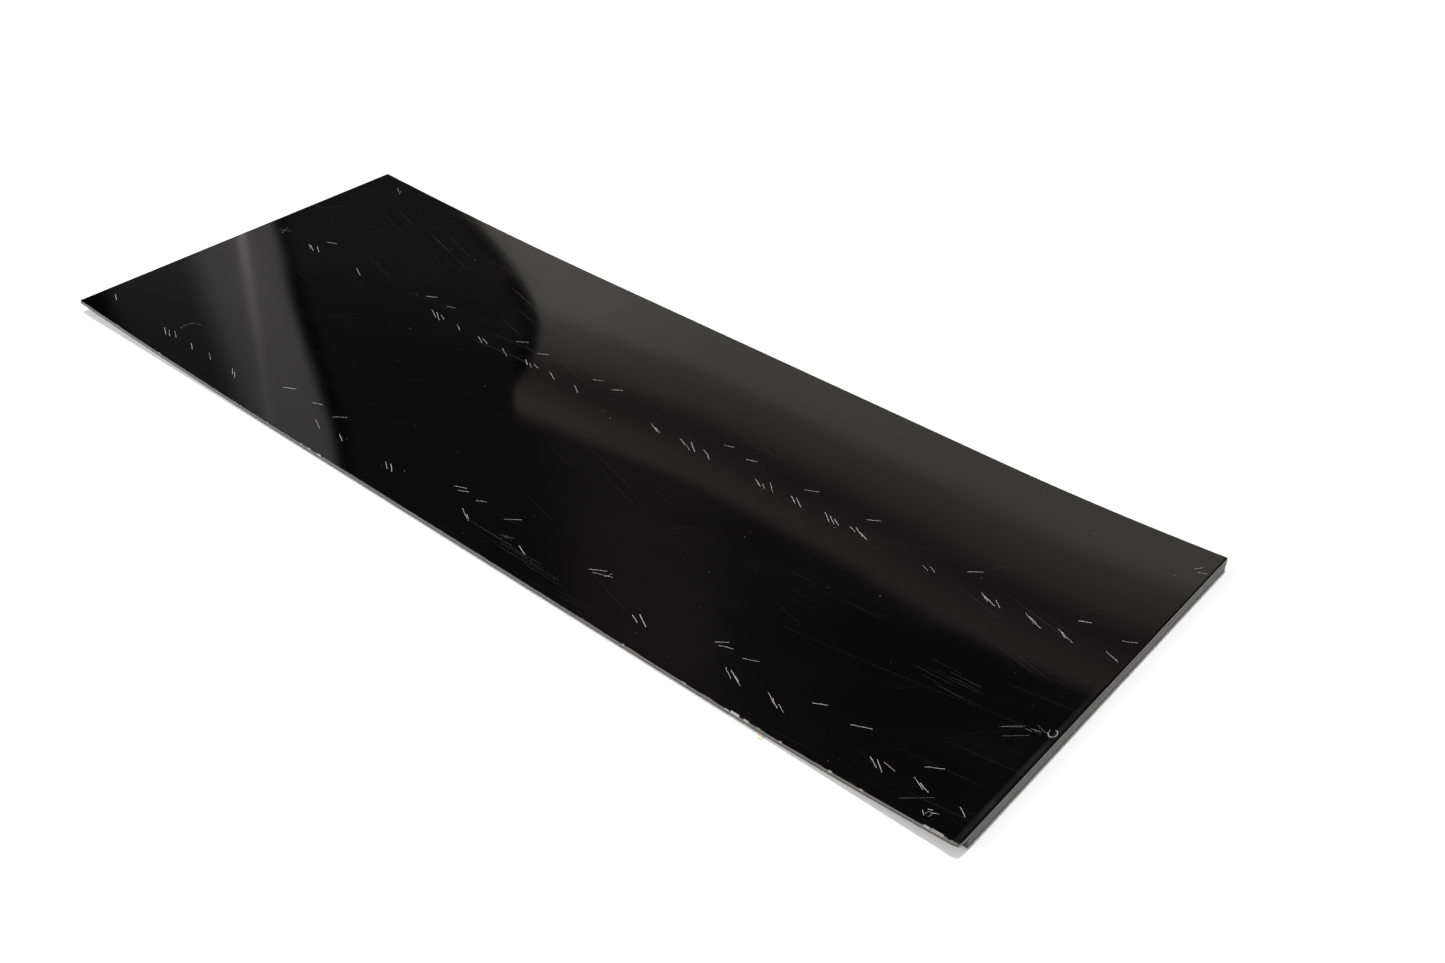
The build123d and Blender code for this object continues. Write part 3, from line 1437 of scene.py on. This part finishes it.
class KICKPLATE_OT_marks(Operator):
    """Lays the scratch strokes and the single scuffs on the face"""

    bl_idname = "kickplate.marks"
    bl_label = "Scratches and Scuffs"

    def execute(self, context):
        marks = context.scene.kickplate_marks
        sheet = bpy.data.objects["gloss_sheet"]
        material = burr_material(marks)
        spots = self.rows_of_strokes(marks) + self.single_marks()
        base = mesh_object("scratch_strokes", [(s[0], s[1], 0.0) for s in spots], [])
        for place, name in enumerate(("turn", "stretch", "girth"), start=2):
            add_attribute(base.data, name, [s[place] for s in spots])
        tree, names = stroke_tree(material)
        grow(
            base,
            tree,
            names,
            {
                "Sheet": sheet,
                "Shortest": 7 * MM,
                "Longest": 12 * MM,
                "Width": marks.width,
                "Height": 0.06 * MM,
                "Wobble": 0.8 * MM,
                "Seed": marks.seed,
            },
        )
        return {"FINISHED"}

    def rows_of_strokes(self, marks):
        """Place, turn, stretch and girth of each stroke of the two long rows."""
        dice = np.random.default_rng(marks.seed)
        low, high = SHEET_BOX
        upper_turn = math.radians(29)
        first = low.x + marks.pitch / 2
        lines = (
            (marks.lower_near, low.y + 21.5 * MM, marks.lean),
            (marks.upper_near, low.y + 38.4 * MM, upper_turn),
            (marks.lower_middle, 23.5 * MM, marks.lean),
            (marks.upper_middle, 40.5 * MM, upper_turn),
        )
        spots = []
        for pattern, level, turn in lines:
            for station, mark in enumerate(pattern):
                if not mark.isdigit():
                    continue
                count = int(mark)
                start = first + marks.pitch * station + dice.uniform(-4.0, 4.0) * MM
                for k in range(count):
                    across = (k - (count - 1) / 2) * marks.gap
                    spots.append(
                        (
                            start + across + dice.uniform(-0.6, 0.6) * MM,
                            level + dice.uniform(-1.6, 1.6) * MM,
                            turn + dice.uniform(-0.1, 0.1),
                            dice.uniform(0.8, 1.1),
                            1.0,
                        )
                    )
        return spots

    def single_marks(self):
        """Place, turn, stretch and girth of the marks that stand alone."""
        dice = np.random.default_rng(77)
        marks = [
            (-0.386, 0.025, 0.5, 0.9, 0.5),
            (-0.386, 0.025, -1.05, 1.2, 0.5),
            (-0.376, 0.139, -0.6, 0.8, 0.7),
            (-0.371, 0.137, -1.0, 0.6, 0.7),
            (-0.3190, -0.1195, 1.64, 0.7, 0.4),
            (-0.3185, -0.1140, 1.30, 0.7, 0.4),
            (-0.3142, -0.1100, 0.41, 1.0, 0.4),
            (0.401, 0.128, 0.5, 0.7, 0.7),
            (0.397, 0.131, 0.9, 0.6, 0.7),
            (0.371, -0.139, 0.75, 1.9, 0.35),
            (0.120, -0.115, 0.45, 1.3, 0.6),
            (0.123, -0.113, 1.3, 0.5, 0.6),
        ]
        marks += self.scattered(dice, (0.382, -0.143), (3.0, 2.5), 7, (0, 3.1), (0.3, 0.5), 0.7)
        marks += self.scattered(dice, (0.384, -0.064), (5, 4), 3, (0.6, 0.85), (1.2, 2.0), 0.32)
        marks += self.scattered(dice, (0.392, -0.056), (4, 4), 4, (-0.9, 0.2), (0.4, 0.8), 0.4)
        # Horseshoe chip beside the right end
        for turn in np.radians((190, 230, 270, 310, 350, 30, 60)):
            spot = (0.4015 + 2.2 * MM * math.cos(turn), -0.053 + 3.0 * MM * math.sin(turn))
            marks.append((*spot, turn + math.pi / 2, 0.36, 0.75))
        # Rubbed patches of fine parallel lines, and two long hairlines
        marks += self.scattered(dice, (0.334, -0.052), (12, 9), 14, (-0.03, 0.03), (1.4, 3.0), 0.12)
        marks += self.scattered(dice, (0.060, -0.136), (34, 4), 14, (-0.02, 0.02), (1.8, 4.0), 0.13)
        marks += self.scattered(dice, (0.048, -0.130), (4, 2), 4, (0.3, 0.7), (0.5, 0.9), 0.3)
        marks += [(0.297, -0.069, 0.13, 11.0, 0.10), (0.012, 0.060, 0.08, 5.0, 0.10)]
        return marks

    def scattered(self, dice, middle, spread, count, turns, stretches, girth):
        """Strokes strewn round a place, over the given spread in millimetres each way."""
        return [
            (
                middle[0] + dice.uniform(-1, 1) * spread[0] * MM,
                middle[1] + dice.uniform(-1, 1) * spread[1] * MM,
                dice.uniform(*turns),
                dice.uniform(*stretches),
                girth * dice.uniform(0.7, 1.3),
            )
            for _ in range(count)
        ]


class KICKPLATE_OT_dust(Operator):
    """Scatters specks of dust over the face"""

    bl_idname = "kickplate.dust"
    bl_label = "Dust"

    def execute(self, context):
        marks = context.scene.kickplate_marks
        base = mesh_object("dust_specks", [(0.0, 0.0, 0.0)], [])
        tree, names = dust_tree(dust_material())
        grow(
            base,
            tree,
            names,
            {
                "Sheet": bpy.data.objects["gloss_sheet"],
                "Density": marks.dust_density,
                "Smallest": 0.12 * MM,
                "Largest": 0.5 * MM,
                "Margin": SHEET_BOX[1].x - 9 * MM,
                "Seed": marks.seed + 2,
            },
        )
        return {"FINISHED"}


# ---------------------------------------------------------------------------
# Stage
# ---------------------------------------------------------------------------


def heading(turn, tilt=0.0):
    """Direction at a turn from +Y towards +X and a tilt above the floor, in degrees."""
    a, e = math.radians(turn), math.radians(tilt)
    return Vector((math.sin(a) * math.cos(e), math.cos(a) * math.cos(e), math.sin(e)))


def add_light(name, place, size, power, glossy=True):
    """White area light aimed at the middle of the floor: round of one size, or of two sides."""
    lamp = bpy.data.lights.new(name, "AREA")
    if isinstance(size, float):
        lamp.shape = "DISK"
        lamp.size = size
    else:
        lamp.shape = "RECTANGLE"
        lamp.size, lamp.size_y = size
    lamp.energy = power
    made = bpy.data.objects.new(name, lamp)
    made.location = place
    made.rotation_euler = (-Vector(place)).to_track_quat("-Z", "Y").to_euler()
    made.visible_glossy = glossy
    bpy.context.scene.collection.objects.link(made)


def add_camera(studio):
    place, aim = Vector(studio.stand), Vector(studio.aim)
    back = (place - aim).normalized()
    right = Vector((0, 0, 1)).cross(back).normalized()
    up = back.cross(right)
    turned_right = math.cos(studio.roll) * right + math.sin(studio.roll) * up
    turned_up = back.cross(turned_right)
    data = bpy.data.cameras.new("camera")
    data.lens = studio.lens
    data.sensor_width = 36.0
    data.sensor_fit = "HORIZONTAL"
    data.clip_start = 0.05
    data.clip_end = 60.0
    made = bpy.data.objects.new("camera", data)
    made.matrix_world = Matrix.Translation(place) @ Matrix(
        (turned_right, turned_up, back)
    ).transposed().to_4x4()
    bpy.context.scene.collection.objects.link(made)
    bpy.context.scene.camera = made


def card_material(name, colour, glow):
    """Glowing card whose light is worked out from place by the given function."""
    material, maker = new_material(name)
    light = maker.scaled(colour, glow(*maker.axes(maker.place())))
    finish_surface(
        maker,
        {
            "Base Color": (0.0, 0.0, 0.0, 1.0),
            "Specular IOR Level": 0.0,
            "Roughness": 1.0,
            "Emission Color": light,
            "Emission Strength": 1.0,
        },
    )
    return material


def add_card(name, points, faces, material):
    """A card that only shows in gloss."""
    made = mesh_object(name, points, faces, (material,))
    made.visible_camera = False
    made.visible_diffuse = False
    made.visible_shadow = False
    made.visible_transmission = False
    made.visible_volume_scatter = False
    made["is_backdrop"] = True


def screen_glow(x, y, z):
    """Side screen: grey outside, a lit panel with a bright line down it, a black post, then dim."""
    along = x * math.cos(SCREEN_TURN) - y * math.sin(SCREEN_TURN)
    lean = z - 2.2
    outer = along.rise(-0.845, -0.775) * z.rise(2.3, 2.5, 0.15, 0.09)
    panel = along.rise(-0.57, -0.45) * 0.31
    line_at = along + 0.335 + lean * 0.24
    glint = (1 - (abs(line_at) / 0.016).at_most(1.0)) ** 0.6
    line = glint * lean.rise(0.0, 0.35, 1.0, 0.3)
    after = line_at.rise(0.0, 0.02) * lean.rise(0.0, 0.3, 0.04, 0.10)
    lit = outer + panel + line + after
    post = (along - z.rise(2.22, 2.34, 0.02, 0.0)).rise(-0.272, -0.234)
    dim = along.rise(-0.215, -0.17) * lean.rise(-0.1, 0.35, 0.062, 0.038)
    above = (z - BOW_HEIGHT).at_most(BOW_REACH)
    bow = BOW_BELOW - (BOW_BELOW - BOW_ABOVE) * (above > 0)
    edge = BOW_SIDE - bow * above * above
    shadow = (along - edge).rise(-0.09, -0.045) * (1 - z.rise(2.50, 2.60))
    return lit * (1 - post) + dim * (1 - shadow)


def screen_edge(height):
    """Right-hand side of the side screen at a height: a shallow bow."""
    above = min(height - BOW_HEIGHT, BOW_REACH)
    return BOW_SIDE - (BOW_ABOVE if above > 0 else BOW_BELOW) * above**2


def wall_glow(x, y, z):
    """Back wall: lit below, in steps, with a dark band and a paler rim under its top."""
    fall = (x + 1.313 + (z - 2.35) * 0.625).at_least(0.0) * 0.488
    level = z + fall - (-2.5 - x).at_least(0.0) * 0.12
    low = 0.60 + x.rise(-3.35, -2.2, 0.12, 0.0)
    step = level.rise(2.405, 2.475, 0.0, 0.42)
    slope = level.rise(2.46, 2.62, 0.0, 0.13)
    band = level.rise(2.60, 2.70, 0.0, 0.27)
    rim = level.rise(2.74, 2.95, 0.0, 0.26)
    over = level.rise(2.965, 3.0)
    gloom = 0.036 + x.rise(-3.3, -2.8) * 0.02 - x.rise(-2.5, -1.5) * 0.028
    patch = x.rise(-3.5, -3.1) * (1 - x.rise(-2.6, -2.15))
    gloom = gloom + patch * z.rise(3.0, 3.9, 0.02, 0.05)
    lit = low * (1 - step - slope - band + rim)
    return lit * (1 - over) + gloom * over


class KICKPLATE_OT_stage(Operator):
    """Sets up the floor, the lights, the cards seen in the gloss and the camera"""

    bl_idname = "kickplate.stage"
    bl_label = "Studio"

    def execute(self, context):
        studio = context.scene.kickplate_studio
        context.scene.view_settings.view_transform = "Standard"
        add_camera(studio)
        self.add_floor(studio)
        self.add_lights(studio)
        self.add_cards()
        self.add_backdrop(context)
        return {"FINISHED"}

    def add_floor(self, studio):
        corners = [
            (FLOOR_HALF * across, FLOOR_HALF * back, FLOOR_LEVEL)
            for across, back in ((-1, -1), (1, -1), (1, 1), (-1, 1))
        ]
        floor = mesh_object("floor", corners, [(0, 1, 2, 3)], (floor_material(studio),))
        floor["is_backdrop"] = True

    def add_lights(self, studio):
        add_light("key", (-0.2, 0.5, 6.0), 0.5, studio.key_light, glossy=False)
        add_light("ceiling", (0.0, -0.4, 4.5), (5.0, 3.6), studio.ceiling_light, glossy=False)
        fill_place = heading(-140, 30) * 4.5
        add_light("front_fill", fill_place, (2.6, 1.7), studio.fill_light, glossy=False)
        add_light("front_left", heading(-134, 28) * 4.6, (1.4, 1.0), 50.0)
        add_light("front_right", heading(118, 24) * 4.5, (1.6, 1.2), 55.0)

    def add_cards(self):
        along = Vector((math.cos(SCREEN_TURN), -math.sin(SCREEN_TURN), 0))
        out = Vector((math.sin(SCREEN_TURN), math.cos(SCREEN_TURN), 0)) * SCREEN_AWAY
        heights = np.linspace(SCREEN_FOOT, SCREEN_TOP, 52)
        points, faces = [], []
        for height in heights:
            for side in (SCREEN_LEFT, screen_edge(height)):
                points.append(out + along * side + Vector((0, 0, height)))
        for k in range(len(heights) - 1):
            faces.append((2 * k, 2 * k + 1, 2 * k + 3, 2 * k + 2))
        screen = card_material("side_screen", (1.0, 0.955, 0.965), screen_glow)
        add_card("side_screen", points, faces, screen)

        corners = (
            (WALL_LEFT, WALL_FOOT),
            (WALL_RIGHT, WALL_FOOT),
            (WALL_RIGHT, WALL_TOP),
            (WALL_LEFT, WALL_TOP),
        )
        points = [(across, WALL_AWAY, height) for across, height in corners]
        wall = card_material("back_wall", (1.05, 0.925, 0.89), wall_glow)
        add_card("back_wall", points, [(0, 1, 2, 3)], wall)

    def add_backdrop(self, context):
        """Pale all round for the camera, dim in gloss."""
        world = bpy.data.worlds.new("studio")
        context.scene.world = world
        world.use_nodes = True
        world.node_tree.nodes.clear()
        maker = Maker(world.node_tree)
        path = maker.node("ShaderNodeLightPath")
        strength = path["Is Camera Ray"] * 1.0 + path["Is Diffuse Ray"] * 0.2
        strength = strength + path["Is Glossy Ray"] * 0.05
        backdrop = maker.node(
            "ShaderNodeBackground", {}, {"Color": (1.0, 1.0, 1.0, 1.0), "Strength": strength}
        )
        output = maker.node("ShaderNodeOutputWorld")
        maker.put(output.built.inputs["Surface"], backdrop[0])


# ---------------------------------------------------------------------------
# Add-on
# ---------------------------------------------------------------------------


class KICKPLATE_PT_panel(Panel):
    """Lists the steps that build the kick plate"""

    bl_idname = "KICKPLATE_PT_panel"
    bl_label = "Kick Plate"
    bl_space_type = "VIEW_3D"
    bl_region_type = "UI"
    bl_category = "Kick Plate"

    def draw(self, context):
        for step in STEPS:
            self.layout.operator(step.bl_idname)
        for group in GROUPS:
            box = self.layout.box()
            for name in group.__annotations__:
                box.prop(getattr(context.scene, GROUPS[group]), name)


STEPS = (
    KICKPLATE_OT_stage,
    KICKPLATE_OT_sheet,
    KICKPLATE_OT_strips,
    KICKPLATE_OT_tapes,
    KICKPLATE_OT_marks,
    KICKPLATE_OT_dust,
)
GROUPS = {
    SheetSizes: "kickplate_sheet",
    TapeSizes: "kickplate_tape",
    MarkSizes: "kickplate_marks",
    StudioSizes: "kickplate_studio",
}


def register():
    for group, name in GROUPS.items():
        bpy.utils.register_class(group)
        setattr(bpy.types.Scene, name, PointerProperty(type=group))
    for step in STEPS:
        bpy.utils.register_class(step)
    bpy.utils.register_class(KICKPLATE_PT_panel)


def unregister():
    bpy.utils.unregister_class(KICKPLATE_PT_panel)
    for step in reversed(STEPS):
        bpy.utils.unregister_class(step)
    for group, name in GROUPS.items():
        delattr(bpy.types.Scene, name)
        bpy.utils.unregister_class(group)


def main():
    register()
    bpy.ops.kickplate.stage()
    bpy.ops.kickplate.sheet()
    bpy.ops.kickplate.strips()
    bpy.ops.kickplate.tapes()
    bpy.ops.kickplate.marks()
    bpy.ops.kickplate.dust()
    low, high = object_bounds()
    sizes = {
        "cad": [list(CAD_BOX[0]), list(CAD_BOX[1])],
        "visual": [list(low), list(high)],
    }


if __name__ == "__main__":
    main()
